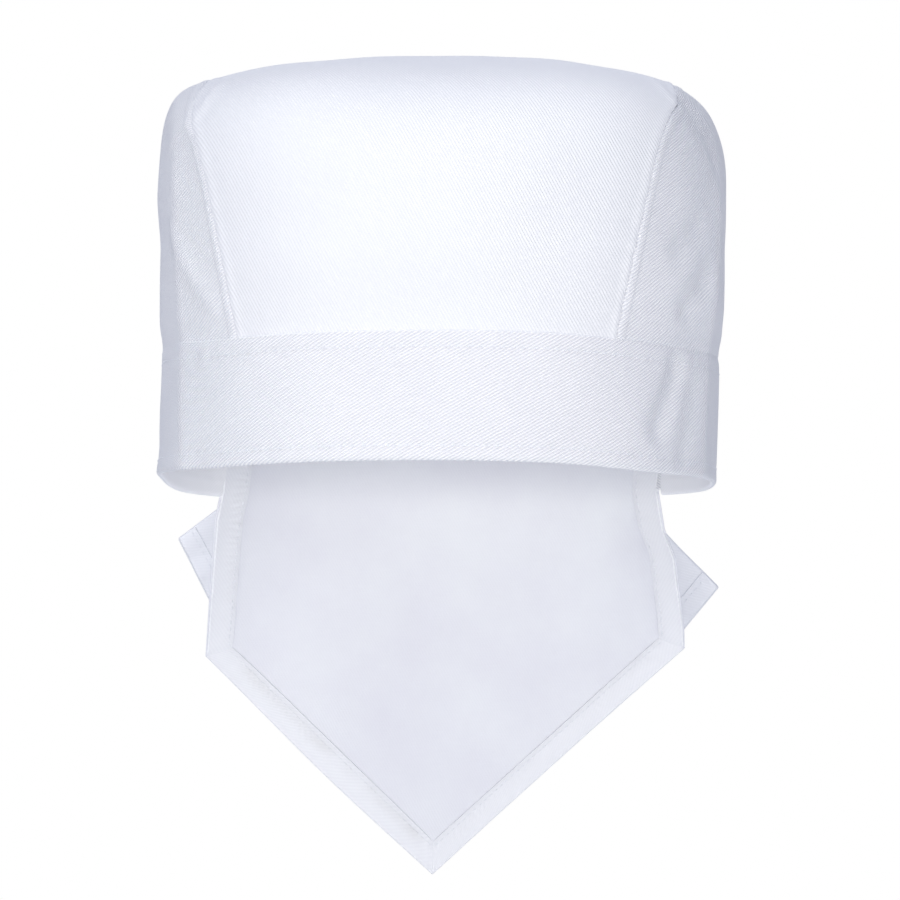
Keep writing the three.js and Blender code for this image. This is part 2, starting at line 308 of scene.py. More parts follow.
def twill(name, light, shade, rib_angle, relief=1.0, rib_painted_shade=0.7, cloud_tone=0.25):
    """Twill with its diagonal ribs at rib_angle degrees to the cloth's width, drawn in metres of cloth. Its
    colour has painted shade in the grooves between the ribs, mixed with the yarns' own uneven tone and soft
    clouds.
    """
    m = Nodes(name)
    grain, u, v = m.grain()
    a = math.radians(rib_angle)
    across = m.total(0, (u, -math.sin(a) / RIB_PITCH), (v, math.cos(a) / RIB_PITCH),
                     (m.noise(grain, 400, 2), RIB_WANDER))
    along = m.total(0, (u, math.cos(a) / FLOAT_PITCH), (v, math.sin(a) / FLOAT_PITCH))
    floats = m.wave(m.total(along, (m.math("FLOOR", across), FLOAT_SHIFT)))
    height = m.total(0.5, (m.wave(across), 0.42), (floats, 0.08))
    warp = m.noise(m.scaled(grain, YARNS_ACROSS, YARNS_ALONG), 1, 2)
    weft = m.noise(m.scaled(grain, YARNS_ALONG, YARNS_ACROSS), 1, 2)
    slubs = m.total(0, (warp, 0.5), (weft, 0.5))
    clouds = m.noise(grain, 28, 3)
    # painted shade: the rib term colours the grooves between the ribs darker, on top of the real tone of the
    # yarns and clouds
    painted_shade_and_tone = m.total(0, (height, rib_painted_shade), (slubs, 0.25), (clouds, cloud_tone))
    yarns = m.bump(slubs, 0.00010, 0.35)
    ribs = m.bump(height, 0.0002 * relief, 1.0, yarns)
    m.paint(m.mix(painted_shade_and_tone, shade, light), m.total(0.82, (slubs, 0.12)), ribs)
    m.shader.inputs["Sheen Weight"].default_value = 0.03
    m.shader.inputs["Sheen Roughness"].default_value = 0.4
    m.shader.inputs["Specular IOR Level"].default_value = 0.25
    return m.material


def thread_material():
    m = Nodes("sewing_thread")
    _, along, around = m.grain()
    twist = m.wave(m.total(around, (along, 1 / THREAD_TWIST)))
    # painted shade: the thread's colour is darker in the grooves between the turns of its twist
    colour = m.mix(m.total(0.5, (twist, 0.5)), (0.80, 0.82, 0.87), (0.90, 0.91, 0.94))
    m.paint(colour, m.total(0.6, (twist, 0.06)), m.bump(twist, 0.00005))
    m.shader.inputs["Sheen Weight"].default_value = 0.2
    return m.material


def felted_material():
    """The stiff, papery interlining inside the band."""
    m = Nodes("interlining")
    coords = m.add("ShaderNodeTexCoord").outputs["Object"]
    fibres = m.noise(m.scaled(coords, 900, 900, 300), 1, 5)
    colour = m.mix(fibres, (0.74, 0.74, 0.71), (0.88, 0.88, 0.86))
    m.paint(colour, m.total(0.85, (fibres, 0.1)), m.bump(fibres, 0.0001))
    return m.material


# Each pair runs from a rib's top to a groove. The darker colour is painted shade in the grooves, mixed with
# the yarns' and clouds' own uneven tone. The band and side-panel pair paints the deepest groove shade. The
# flap's darker colour is mostly its lavender clouds.
LIGHT, SHADE = (0.885, 0.89, 0.905), (0.79, 0.80, 0.83)
LEVEL_LIGHT, LEVEL_SHADE = (1.0, 1.0, 1.0), (0.65, 0.67, 0.73)
INSIDE_LIGHT, INSIDE_SHADE = (0.93, 0.935, 0.95), (0.885, 0.89, 0.91)
HEM_LIGHT, HEM_SHADE = (0.89, 0.90, 0.925), (0.85, 0.86, 0.89)
FLAP_LIGHT, FLAP_SHADE = (0.89, 0.915, 0.93), (0.73, 0.72, 0.80)

STEEP = 118  # ribs lean back on the centre panel and the flap
SHALLOW = 29  # and lie nearly level on the band and side panels, cut the other way of the cloth

steep_twill = twill("twill_steep", LIGHT, SHADE, STEEP, 0.5)
level_twill = twill("twill_level", LEVEL_LIGHT, LEVEL_SHADE, SHALLOW, 1.2)
steep_inside = twill("twill_inside_steep", INSIDE_LIGHT, INSIDE_SHADE, STEEP, 0.35)
level_inside = twill("twill_inside_level", INSIDE_LIGHT, INSIDE_SHADE, SHALLOW, 0.08)
flap_inside = twill("twill_inside_flap", FLAP_LIGHT, FLAP_SHADE, STEEP, 0.06, rib_painted_shade=0.1, cloud_tone=0.8)
hem_twill = twill("twill_hem", HEM_LIGHT, HEM_SHADE, SHALLOW, 0.08)
thread = thread_material()
level_cloth = [level_twill, level_inside]

# -------------------- meshes


EDGE_ROW = 0.15  # how far in the extra row at a sheet's edge lies, as a part of the spacing


def make_mesh(name, points, faces, grain, materials, material_of_face):
    """points in mm, faces as rows of 4 indices, grain as mm of cloth at each point."""
    mesh = bpy.data.meshes.new(name)
    mesh.vertices.add(len(points))
    mesh.vertices.foreach_set("co", (points * MM).astype(np.float32).ravel())
    mesh.loops.add(faces.size)
    mesh.loops.foreach_set("vertex_index", faces.astype(np.int32).ravel())
    mesh.polygons.add(len(faces))
    mesh.polygons.foreach_set("loop_start", np.arange(0, faces.size, 4, dtype=np.int32))
    mesh.polygons.foreach_set("loop_total", np.full(len(faces), 4, np.int32))
    for material in materials:
        mesh.materials.append(material)
    mesh.polygons.foreach_set("material_index", material_of_face.astype(np.int32))
    mesh.polygons.foreach_set("use_smooth", np.ones(len(faces), bool))
    layer = mesh.uv_layers.new(name="grain")
    layer.data.foreach_set("uv", (grain[faces.ravel()] * MM).astype(np.float32).ravel())
    mesh.update(calc_edges=True)
    mesh.validate()
    piece = bpy.data.objects.new(name, mesh)
    bpy.context.scene.collection.objects.link(piece)
    return piece


def grid_faces(rows, columns, first):
    index = first + np.arange(rows * columns).reshape(rows, columns)
    return np.stack([index[:-1, :-1], index[1:, :-1], index[1:, 1:], index[:-1, 1:]], -1).reshape(-1, 4)


def border(rows, columns):
    """Indices round the edge of a grid, once round."""
    index = np.arange(rows * columns).reshape(rows, columns)
    return np.concatenate([index[:-1, 0], index[-1, :-1], index[:0:-1, -1], index[0, :0:-1]])


def crisp(grid):
    """The grid with one more row close to each edge, so that the edge shades crisply."""
    for _ in range(2):
        first, last = lerp(grid[0], grid[1], EDGE_ROW), lerp(grid[-1], grid[-2], EDGE_ROW)
        grid = np.concatenate([grid[:1], first[None], grid[1:-1], last[None], grid[-1:]])
        grid = grid.swapaxes(0, 1)
    return grid


def cloth(name, outer, inner, grain, materials, turned=1.0):
    """A closed sheet of cloth between two grids of points, with a rounded edge all round.

    Past the part turned of its columns, the outer grid shows the inside material too.
    """
    outer, inner, grain = crisp(outer), crisp(inner), crisp(grain)
    rows, columns = outer.shape[:2]
    count = rows * columns
    middle = (outer + inner) / 2
    edge = border(rows, columns)
    flat = middle.reshape(-1, 3)
    spread = np.gradient(middle, axis=0), np.gradient(middle, axis=1)
    outward = np.zeros_like(middle)
    outward[0] -= spread[0][0]
    outward[-1] += spread[0][-1]
    outward[:, 0] -= spread[1][:, 0]
    outward[:, -1] += spread[1][:, -1]
    thickness = np.linalg.norm(outer - inner, axis=-1).reshape(-1)[edge]
    rim = flat[edge] + unit(outward.reshape(-1, 3)[edge]) * thickness[:, None] * 0.4
    points = np.concatenate([outer.reshape(-1, 3), inner.reshape(-1, 3), rim])
    top = grid_faces(rows, columns, 0)
    under = grid_faces(rows, columns, count)[:, ::-1]
    ring = 2 * count + np.arange(len(edge))
    after = np.roll(np.arange(len(edge)), -1)
    upper = np.stack([edge, ring, ring[after], edge[after]], 1)
    lower = np.stack([ring, edge + count, edge[after] + count, ring[after]], 1)
    faces = np.concatenate([top, under, upper, lower])
    a, b, c = (points[top[:, k]] for k in (0, 1, 2))
    through = (outer - inner).reshape(-1, 3)[top[:, 0]]
    if np.sum(np.cross(b - a, c - a) * through) < 0:
        faces = faces[:, ::-1]
    inside = len(materials) - 1
    turned_in = np.tile(np.arange(columns - 1) >= turned * columns, rows - 1)
    kind = np.concatenate([inside * turned_in, np.full(len(under) + 2 * len(edge), inside)])
    cut = grain.reshape(-1, 2)
    return make_mesh(name, points, faces, np.concatenate([cut, cut, cut[edge]]), materials, kind)


STITCH_SINK = 0.12  # how deep a stitch's ends dive into the cloth
HEM_STITCH = {"radius": 0.13, "length": 1.7, "space": 0.7}


def stitches(name, path, normals, radius, length=2.3, space=0.9):
    """A row of stitches along a path on the cloth: short threads whose ends dive into it."""
    along = arc_length(path)
    starts = np.arange(space, along[-1] - length, length + space)
    rings, sides = 7, 6
    t = np.linspace(0, 1, rings)
    s = starts[:, None] + t[None] * length
    centre = np.stack([np.interp(s, along, path[:, k]) for k in range(3)], -1)
    normal = unit(np.stack([np.interp(s, along, normals[:, k]) for k in range(3)], -1))
    forward = unit(np.gradient(centre, axis=1))
    sideways = np.cross(normal, forward)
    arch = np.sin(np.pi * t)
    swell = radius * np.clip(arch * 3, 0.15, 1)
    lift = radius * 0.9 * arch ** 0.5 - STITCH_SINK * (1 - arch)
    turn = 2 * np.pi * np.arange(sides) / sides
    circle = (np.cos(turn)[None, None, :, None] * normal[:, :, None]
              + np.sin(turn)[None, None, :, None] * sideways[:, :, None])
    points = (centre + normal * lift[None, :, None])[:, :, None] + circle * swell[None, :, None, None]
    count = len(starts)
    index = np.arange(count * rings * sides).reshape(count, rings, sides)
    beside = np.roll(index, -1, axis=2)
    body = np.stack([index[:, :-1], index[:, 1:], beside[:, 1:], beside[:, :-1]], -1).reshape(-1, 4)[:, ::-1]
    caps = []
    for ring, order in ((0, 1), (rings - 1, -1)):
        for first in (0, 2):
            corners = index[:, ring, (first + np.arange(4)) % sides]
            caps.append(corners[:, ::order])
    faces = np.concatenate([body, *caps])
    grain = np.stack(np.broadcast_arrays(s[:, :, None], turn), -1).reshape(-1, 2)
    piece = make_mesh(name, points.reshape(-1, 3), faces, grain, [thread], np.zeros(len(faces)))
    return piece


# -------------------- shape of the cap


def outline_radius(azimuth, inset):
    """Distance from the Z axis to the band's outer face, less inset."""
    c = np.abs(np.cos(azimuth)) / (HALF_WIDTH - inset)
    s = np.abs(np.sin(azimuth)) / (HALF_DEPTH - inset)
    return (c ** OUTLINE_SQUARENESS + s ** OUTLINE_SQUARENESS) ** (-1 / OUTLINE_SQUARENESS)


def edge_sharpness(azimuth):
    """How tightly the crown turns over at its top edge: crisp at the sides, soft behind."""
    facing = np.sin(azimuth)
    return lerp(np.where(np.cos(azimuth) > 0, 10.0, 11.0), np.where(facing < 0, 5.5, 2.6), facing ** 2)


def crown_swell(azimuth, up):
    """How far the crown stands out over the band: from its very edge on the right, higher up on the left."""
    to_front = 2.6 * smooth(up, 0, 25)
    to_left = 0.9 * smooth(up, 0, 8) + 1.8 * smooth(up, 28, 48)
    to_right = 0.8 * smooth(up, -5, -1) + 1.0 * smooth(up, -1, 5) + 1.1 * smooth(up, 3, 14)
    to_right = to_right + 0.5 * bump(up - 46, 14)
    sideways = np.cos(azimuth)
    return lerp(to_front, np.where(sideways > 0, to_right, to_left), sideways ** 2)


def crown_field(p):
    """Below 1 inside the crown, 1 on it and above 1 outside."""
    azimuth = azimuth_of(p)
    up = p[..., 2] - BAND_HEIGHT
    outward = np.hypot(p[..., 0], p[..., 1]) / outline_radius(azimuth, CROWN_INSET - crown_swell(azimuth, up))
    upward = np.clip(up / (CROWN_HEIGHT - CROWN_SLACK - BAND_HEIGHT), 0, None)
    return outward ** CROWN_SQUARENESS + upward ** edge_sharpness(azimuth)


def crown_normals(p):
    step = 0.5 * np.eye(3)
    return unit(np.stack([crown_field(p + d) - crown_field(p - d) for d in step], -1))


def crown_hit(start, direction):
    """Where rays from inside the crown meet its surface."""
    low = np.zeros(direction.shape[:-1])
    high = np.full_like(low, 200.0)
    for _ in range(40):
        middle = (low + high) / 2
        inside = crown_field(start + direction * middle[..., None]) < 1
        low = np.where(inside, middle, low)
        high = np.where(inside, high, middle)
    return start + direction * low[..., None]


def crown_over(x, over_head):
    """The crown at sideways distance x and an angle over the head: 0 forehead, 90 top, 180 back."""
    x, a = np.broadcast_arrays(np.asarray(x, float), np.radians(over_head))
    start = np.stack([x, np.zeros_like(x), np.full_like(x, BAND_HEIGHT)], -1)
    return crown_hit(start, np.stack([np.zeros_like(x), -np.cos(a), np.sin(a)], -1))


def crown_toward(p):
    return crown_hit(np.broadcast_to(CROWN_MIDDLE, p.shape), unit(p - CROWN_MIDDLE))


def seam_half_width(over_head, side):
    """Half width of the centre panel; its left edge leans in a little over the top."""
    over_head, left = np.asarray(over_head, float), np.asarray(side) < 0
    foot, corner = (np.where(left, sides[-1], sides[1]) for sides in (SEAM_FOOT, FRONT_CORNER))
    half = lerp(foot, SEAM_SHOULDER, np.clip(over_head / corner, 0, 1)) + 1.2 * bump(over_head - corner, 12)
    lean = smooth(over_head, corner + 2, 70) * (1 - smooth(over_head, 100, BACK_CORNER))
    return half - np.where(left, LEFT_SEAM_LEAN, 0) * lean


def seam_line(side, start, end, outside=0.0, count=500):
    """The seam from one angle over the head to another, or a line that far outside it."""
    over_head = np.linspace(start, end, count)
    return crown_over(side * (seam_half_width(over_head, side) + outside), over_head)


def front_angle(z):
    return -math.degrees(math.atan2(BAND_HEIGHT - z, HALF_DEPTH))


def round_cap(azimuth):
    """Distance round the cap from the middle of the forehead, growing to the right."""
    steps = 2000
    line_azimuth = np.linspace(-1.5 * np.pi, 0.5 * np.pi, steps + 1)
    radius = outline_radius(line_azimuth, 0)
    along = arc_length(round_axis(radius, line_azimuth, 0))
    turned = np.where(azimuth > np.pi / 2, azimuth - 2 * np.pi, azimuth)
    return np.interp(turned, line_azimuth, along - along[steps // 2])


# How far the band's edges hang below their first heights in mm, by degrees round from the forehead.
DIP_ANGLES = (0, 20, 43, 68, 90, 110, 130, 150)
DIP_BLUR = 11  # degrees to either side over which the dips are smoothed
LOW_EDGE_DIP = {-1: (0.7, 0.9, 1.8, 1.1, 1.5, 4.2, 4.9, 4.2), 1: (0.7, 1.2, 3.3, 3.5, 3.8, 4.5, 4.4, 4.2)}
TOP_EDGE_DIP = {-1: (0.7, 1.0, 1.8, 0.3, 0.2, 1.0, 1.5, 1.5), 1: (0.7, 1.2, 3.1, 3.2, 3.0, 3.0, 3.0, 3.0)}


def dip_curve(dips):
    """Smoothed dips over the degrees round from the forehead, left of it negative."""
    angles = np.concatenate([-np.array(DIP_ANGLES[:0:-1]), DIP_ANGLES])
    both = np.concatenate([dips[-1][:0:-1], dips[1]])
    degrees = np.arange(-180, 181)
    window = np.hanning(2 * DIP_BLUR + 1)
    padded = np.interp(np.arange(-180 - DIP_BLUR, 181 + DIP_BLUR), angles, both)
    return degrees, np.convolve(padded, window / window.sum(), "valid")


def band_drop(p):
    """How far a point of the band hangs below its first height, less than 0."""
    x, y, z = np.moveaxis(p, -1, 0)
    round_from_front = np.degrees(np.arctan2(x, -y))
    low = np.interp(round_from_front, *dip_curve(LOW_EDGE_DIP))
    top = np.interp(round_from_front, *dip_curve(TOP_EDGE_DIP))
    return -lerp(low, top, z / BAND_HEIGHT)


# -------------------- crown

BACK_JOIN = 12.0  # height where the centre panel's cloth carries on as the neck flap
TUCK = 1.4  # how far the side panels reach in under the centre panel's edge
STRIP = 3.6  # width of the raised strip over the seam's allowance
# Creases where the cap was once folded flat: distance round at the foot and at the head, top and height.
SIDE_CREASES = ((-89, -94, 100, 1.6), (104, 113, 88, 1.4))
CREASE_WIDTH = 8.0
# A ridge in the left side panel and slack dents in the right: distance round and height at both ends, width
# and height of the fold.
SIDE_FOLDS = {-1: (((-98, 71), (-71, 43), 3.5, 0.7),),
              1: (((90, 112), (117, 90), 4.5, -1.1),
                  ((103, 56), (86, 44), 5.0, -1.8),
                  ((97, 70), (80, 60), 5.0, -1.2))}


def crown_folds(flat_x, flat_y, calm):
    """Heights of the soft uneven hills of unstarched cloth, none where calm is 0."""
    broad = soft_noise(flat_x + 500, flat_y + 500, 46, 11) * 0.5
    small = soft_noise(flat_x + 900, flat_y + 300, 17, 12) * 0.14
    return (broad + small - 0.3) * calm


def fold_creases(around, z):
    """Heights of the old fold lines down the sides."""
    relief = 0
    for foot, head, top, height in SIDE_CREASES:
        beside = around - lerp(foot, head, z / top)
        relief = relief + height * crease(beside, CREASE_WIDTH) * (1 - smooth(z, top - 14, top + 6))
    return relief


def puckers(distance, where, seed, reach):
    """Fine gathers across a row of stitching."""
    return soft_noise(where, distance * 0.25, 3.6, seed) * 0.12 * np.exp(-distance / reach)


def make_centre_panel():
    over_head = np.linspace(front_angle(ALLOWANCE_FOOT), 180 - front_angle(BACK_JOIN), 310)
    across = denser_at_ends(np.linspace(-1, 1, 131))[:, None]
    side = np.sign(across)
    x = across * seam_half_width(over_head, side)
    grid = crown_over(x, np.broadcast_to(over_head, x.shape))
    normal = crown_normals(grid)
    length = arc_length(grid[len(grid) // 2])
    flat_y = np.broadcast_to(length, x.shape)
    from_edge = seam_half_width(over_head, side) - np.abs(x)
    calm = smooth(from_edge, 0, 30) * smooth(flat_y, 8, 40) * smooth(length[-1] - flat_y, 5, 60)
    relief = crown_folds(x, flat_y, calm) + 0.12 + 0.25 * bump(from_edge - 0.9, 0.9)
    relief = relief + puckers(from_edge, flat_y + side * 200, 21, 3.0)
    for reach in (-1, 1):
        corner = np.interp(FRONT_CORNER[reach], over_head, length)
        start, end = (reach * SEAM_SHOULDER, corner - 2), (reach * (SEAM_SHOULDER - 7), corner + 15)
        relief = relief + 0.55 * fold_line(x, flat_y, start, end, 2.2)
    shaped = grid + normal * relief[..., None]
    inner = shaped - normal * CLOTH
    steps = np.linalg.norm(np.diff(grid, axis=1), axis=2)
    grain = np.stack([x, np.pad(np.cumsum(steps, axis=1), ((0, 0), (1, 0)))], -1)
    piece = cloth("centre_panel_cloth", shaped, inner, grain, [steep_twill, steep_inside])
    finish_piece(piece, "cap", "twill", "centre_panel")


def denser_at_ends(t):
    """Steps from -1 to 1 that get finer towards both ends."""
    return np.sign(t) * (1 - (1 - np.abs(t)) ** 1.4)


def finish_piece(piece, body, slot, *nodes):
    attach(piece, body)
    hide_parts(*nodes)


def sew_to_cap(row, node):
    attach(row, "cap")
    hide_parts(node)


def side_panel_grid(side):
    """The crown between the wall's foot, inside the band, and a line just inside the seam."""
    columns, rows = 230, 84
    start = front_angle(ALLOWANCE_FOOT)
    seam = resample(seam_line(side, start, 180 - start, -TUCK), 0.4)
    seam = seam[np.linspace(0, len(seam) - 1, columns).astype(int)]
    ends = [math.atan2(seam[k, 1], seam[k, 0] * side) for k in (0, -1)]
    azimuth = np.linspace(*ends, columns)
    radius = outline_radius(azimuth, CROWN_INSET)
    wall_foot = round_axis(radius, azimuth, ALLOWANCE_FOOT) * (side, 1, 1)
    upward = 1 - (1 - np.linspace(0, 1, rows)) ** 1.5
    return crown_toward(lerp(wall_foot[:, None], seam[:, None], upward[None, :, None]))


def shape_side_panel(side, grid):
    """The side panel's outer face at points on the crown, with its normals and the cloth's coordinates.

    It steps down under the centre panel's edge, and under the band it follows the band's dents.
    """
    normal = crown_normals(grid)
    azimuth, z = azimuth_of(grid), grid[..., 2]
    inward = outline_radius(azimuth, 0) - np.hypot(grid[..., 0], grid[..., 1])
    around, height = round_cap(azimuth), z + inward
    distance, where = nearest(seam_line(side, -8, 190, -TUCK, 1500), grid)
    outside = distance - TUCK
    calm = smooth(outside, 3, 25) * smooth(z, BAND_HEIGHT, BAND_HEIGHT + 14)
    relief = crown_folds(around, height, calm)
    relief = relief + fold_creases(around, z) * smooth(outside, 2, 18)
    relief = relief - 0.85 * (1 - smooth(outside, -0.3, 1.3))
    relief = relief + 0.3 * smooth(outside, 0.8, 2.0) * (1 - smooth(outside, STRIP - 0.4, STRIP + 0.8))
    relief = relief + puckers(np.clip(outside, 0, None), where, 31 + side, 3.0) * smooth(outside, 0, 1)
    relief = relief + shoulder_folds(side, z, around, outside)
    band_height = z - band_drop(grid)
    band_dents = np.minimum(band_relief(around, band_height) - fold_creases(around, band_height), 0)
    relief = relief + band_dents * (1 - smooth(z, BAND_HEIGHT - 6, BAND_HEIGHT - 2))
    return grid + normal * relief[..., None], normal, np.stack([around, height], -1)


def shoulder_folds(side, z, around, outside):
    """The rolled left shoulder, and folds slanting down from the crown's front corners."""
    corner = seam_line(side, FRONT_CORNER[side], FRONT_CORNER[side] + 1)[0]
    corner_round = float(round_cap(azimuth_of(corner)))
    start, end = (corner_round, corner[2]), (corner_round + side * 17, corner[2] - 6)
    relief = folds(around, z, [(start, end, 2.5, 0.6), *SIDE_FOLDS[side]])
    if side < 0:
        relief = relief + 1.6 * bump(outside - 11, 8) * smooth(z, corner[2] - 8, corner[2] + 4)
    return relief


def make_side_panel(side, name):
    shaped, normal, grain = shape_side_panel(side, side_panel_grid(side))
    inner = shaped - normal * CLOTH
    piece = cloth(f"{name}_side_panel_cloth", shaped, inner, grain, level_cloth)
    finish_piece(piece, "cap", "twill", f"{name}_side_panel")
    route, facing, _ = shape_side_panel(side, seam_line(side, 3, 172, 0.75, 800))
    sew_to_cap(stitches(f"{name}_seam_stitches", route, facing, 0.10), f"{name}_seam_stitching")


# -------------------- headband

BAND_END = math.atan2(crown_over(SEAM_SHOULDER, 180.0)[1], SEAM_SHOULDER)
STITCH_FROM_EDGE = 4.5
BAND_LEG = 0.47  # part of the folded strip in each leg; the rest is in the fold
BAND_THIN, BAND_THICK = 2.1, 3.4  # outside to inside, below the crown's turned-in edge and over it
TOP_CLOSING = 0.25  # how far each leg closes in on the crown at the band's top
BAND_DENTS = (((87, 33), (73, 10), 4.6, -2.0), ((97, 28), (88, 4), 5.0, -0.8))  # as in SIDE_FOLDS
BAND_COLUMNS = 460
INTERLINING, INTERLINING_MARGIN = 0.4, 2.0  # thickness, and distance from the band's edges


def band_thickness(z):
    return lerp(BAND_THIN, BAND_THICK, smooth(z, ALLOWANCE_FOOT - 8, ALLOWANCE_FOOT - 1))


def band_section(down, depth):
    """Inset and height of the folded strip: down the outside, round the fold and up the inside."""
    half = BAND_THIN / 2
    turn = np.pi * np.clip((down - BAND_LEG) / (1 - 2 * BAND_LEG), 0, 1)
    inset = half - (half - depth) * np.cos(turn)
    z = half - (half - depth) * np.sin(turn)
    z = np.where(down < BAND_LEG, lerp(BAND_HEIGHT, half, down / BAND_LEG), z)
    z = np.where(down > 1 - BAND_LEG, lerp(half, BAND_HEIGHT, (down - 1) / BAND_LEG + 1), z)
    inset = np.where(down > 1 - BAND_LEG, band_thickness(z) - depth, inset)
    return inset, z


def band_relief(around, z):
    """Long soft waves, slanting dents on the right, edges that lean in or out at the sides, and gathers along
    the two rows of stitching."""
    relief = soft_noise(around + 400, z * 0.4, 42, 41) * 0.3 + fold_creases(around, z)
    relief = relief + folds(around, z, BAND_DENTS)
    relief = relief - 0.8 * smooth(-around, 70, 105) * smooth(z, 12, 37)
    relief = relief + 0.9 * smooth(-around, 70, 110) * (1 - smooth(z, 0, 9))
    relief = relief - 1.0 * smooth(around, 90, 125) * (1 - smooth(z, 0, 34))
    for row, seed in ((STITCH_FROM_EDGE, 42), (BAND_HEIGHT - STITCH_FROM_EDGE, 43)):
        distance = np.abs(z - row)
        relief = relief - 0.16 * bump(distance, 0.8) + puckers(distance, around + 300, seed, 2.5)
    return relief


def band_surface(azimuth, inset, z, relief):
    """Points of the band, with its edges hung as low as they are."""
    radius = outline_radius(azimuth, inset) + relief
    points = round_axis(radius, azimuth, z)
    points[..., 2] += band_drop(points)
    return points


def band_azimuths():
    """From the band's left end round by the forehead to its right end."""
    return np.linspace(-math.pi - BAND_END, BAND_END, BAND_COLUMNS)[:, None]


def make_band():
    azimuth = band_azimuths()
    down = np.linspace(0, 1, 120)[None]
    height = band_section(down, 0)[1] + 0 * azimuth
    around = round_cap(np.arctan2(np.sin(azimuth), np.cos(azimuth))) + 0 * height
    relief = band_relief(around, height)
    surfaces = []
    for depth in (0, CLOTH):
        inset, z = band_section(down, depth)
        at_top = smooth(z, BAND_HEIGHT - 1.6, BAND_HEIGHT)
        closing = TOP_CLOSING * at_top * (1 - 2 * smooth(down, 0.45, 0.55))
        surfaces.append(band_surface(azimuth, inset + closing, z, relief))
    grain = np.stack([around, np.where(down < 0.5, height, -height)], -1)
    piece = cloth("band_cloth", *surfaces, grain, level_cloth, turned=0.5)
    finish_piece(piece, "cap", "twill", "band")
    normals = grid_normals(surfaces[0], np.array([0, 0, BAND_HEIGHT / 2]))
    for name, z in (("top", BAND_HEIGHT - STITCH_FROM_EDGE), ("bottom", STITCH_FROM_EDGE)):
        column = int(np.argmin(np.where(down[0] < BAND_LEG, np.abs(height[0] - z), np.inf)))
        row = stitches(f"band_{name}_stitches", surfaces[0][:, column], normals[:, column], 0.16)
        sew_to_cap(row, f"band_{name}_stitching")
    make_interlining(around[:, :1])


def make_interlining(around):
    """The stiffening strip inside the folded band."""
    azimuth = band_azimuths()
    z = np.linspace(INTERLINING_MARGIN, BAND_HEIGHT - INTERLINING_MARGIN, 40)[None] + 0 * azimuth
    relief = band_relief(around, z)
    inset = band_thickness(z) - CLOTH - GAP / 2
    outer = band_surface(azimuth, inset - INTERLINING, z, relief)
    inner = band_surface(azimuth, inset, z, relief)
    grain = np.stack([around + 0 * z, z], -1)
    piece = cloth("band_interlining_cloth", outer, inner, grain, [felted_material()])
    finish_piece(piece, "cap", "interlining", "band_interlining")


# -------------------- neck flap

FLAP_TIP = (-5.2, -125.3)
FLAP_HEM = 7.5
HEM_COLUMNS = 17  # points across a hem
HEM_STITCH_COLUMN = 13  # the one that its stitches follow
HEM_RIPPLE = 2.2  # from one ripple of a hem to the next
MITRE_DIP = 0.45  # how far a hem dips where two meet
JUST_PAST_TIP = 1.0001  # on the flap's outline
FLAP_TUCK = 2.5  # how far the flap's top reaches up inside the centre panel
LEFT_CORNER, RIGHT_CORNER = (-77.5, -55.0), (76.0, -52.5)
# The flap's side edges: heights, and the sideways distance at each.
LEFT_EDGE = ((LEFT_CORNER[1], -12.0, -3.0, BACK_JOIN), (LEFT_CORNER[0], -73.3, -71.5, -70.0))
RIGHT_EDGE = ((RIGHT_CORNER[1], -46.0, -24.0, -15.0, -3.0, BACK_JOIN),
              (RIGHT_CORNER[0], 75.8, 73.0, 69.6, 67.7, 69.0))
INSIDE_FLAP = np.array([0, 0, -40])


def back_depth(x):
    """How far back the crown's round reaches at a sideways distance."""
    width, depth = HALF_WIDTH - CROWN_INSET, HALF_DEPTH - CROWN_INSET
    return depth * (1 - (np.abs(x) / width) ** OUTLINE_SQUARENESS) ** (1 / OUTLINE_SQUARENESS)


def panel_foot(x):
    """Height of the centre panel's lower edge behind."""
    return BAND_HEIGHT - back_depth(x) * (BAND_HEIGHT - BACK_JOIN) / HALF_DEPTH


def flap_point(x, z):
    """The flap keeps the round of the head at the top and falls flatter below, with slack folds."""
    x, z = np.broadcast_arrays(np.asarray(x, float), np.asarray(z, float))
    flat_y = 95 - 12 * (x / 76) ** 2
    y = lerp(back_depth(x), flat_y, smooth(-z, -10, 75))
    y = y - (CLOTH + 0.2) * smooth(z - panel_foot(x), -0.6, 0.8)
    slack = smooth(-z, 0, 60)
    y = y + slack * soft_noise(x + 300, z * 0.35 + 300, 34, 51) * 1.1
    y = y + smooth(-z, 0, 20) * soft_noise(x + 100, z * 0.5 + 700, 13, 52) * 0.15
    return np.stack([x, y, z], -1)


def flap_outline(t):
    """The flap's lower edge from its left corner (t = 0) to its tip (1) and its right corner (2)."""
    t = np.asarray(t)[..., None]
    bow = np.sin(np.pi * (t % 1.0))
    to_tip = lerp(np.array(LEFT_CORNER), np.array(FLAP_TIP), t) + bow * np.array([-0.8, -0.8])
    from_tip = lerp(np.array(FLAP_TIP), np.array(RIGHT_CORNER), t - 1) + bow * np.array([-0.2, 0.2])
    return np.where(t <= 1, to_tip, from_tip)


def make_flap():
    across = np.linspace(0, 1, 131)[:, None]
    down = np.linspace(0, 1, 116)[None]
    lower = flap_outline(2 * across[:, 0])[:, None]
    top = panel_foot(lerp(LEFT_EDGE[1][-1], RIGHT_EDGE[1][-1], across)) + FLAP_TUCK
    z = lerp(top, lower[..., 1], down)
    left, right = np.interp(z[:1], *LEFT_EDGE), np.interp(z[-1:], *RIGHT_EDGE)
    at_corners = lerp(LEFT_CORNER[0], RIGHT_CORNER[0], across)
    x = lerp(left, right, across) + (lower[..., 0] - at_corners) * down
    grid = flap_point(x, z)
    inner = grid - grid_normals(grid, INSIDE_FLAP) * CLOTH
    piece = cloth("neck_flap_cloth", grid, inner, np.stack([x, z], -1), [steep_twill, flap_inside])
    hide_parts("flap_panel")
    bend_flap(piece)
    hems = make_hems()


def bend_flap(piece):
    """Bake the piece's placement into its mesh points."""
    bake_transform(piece)


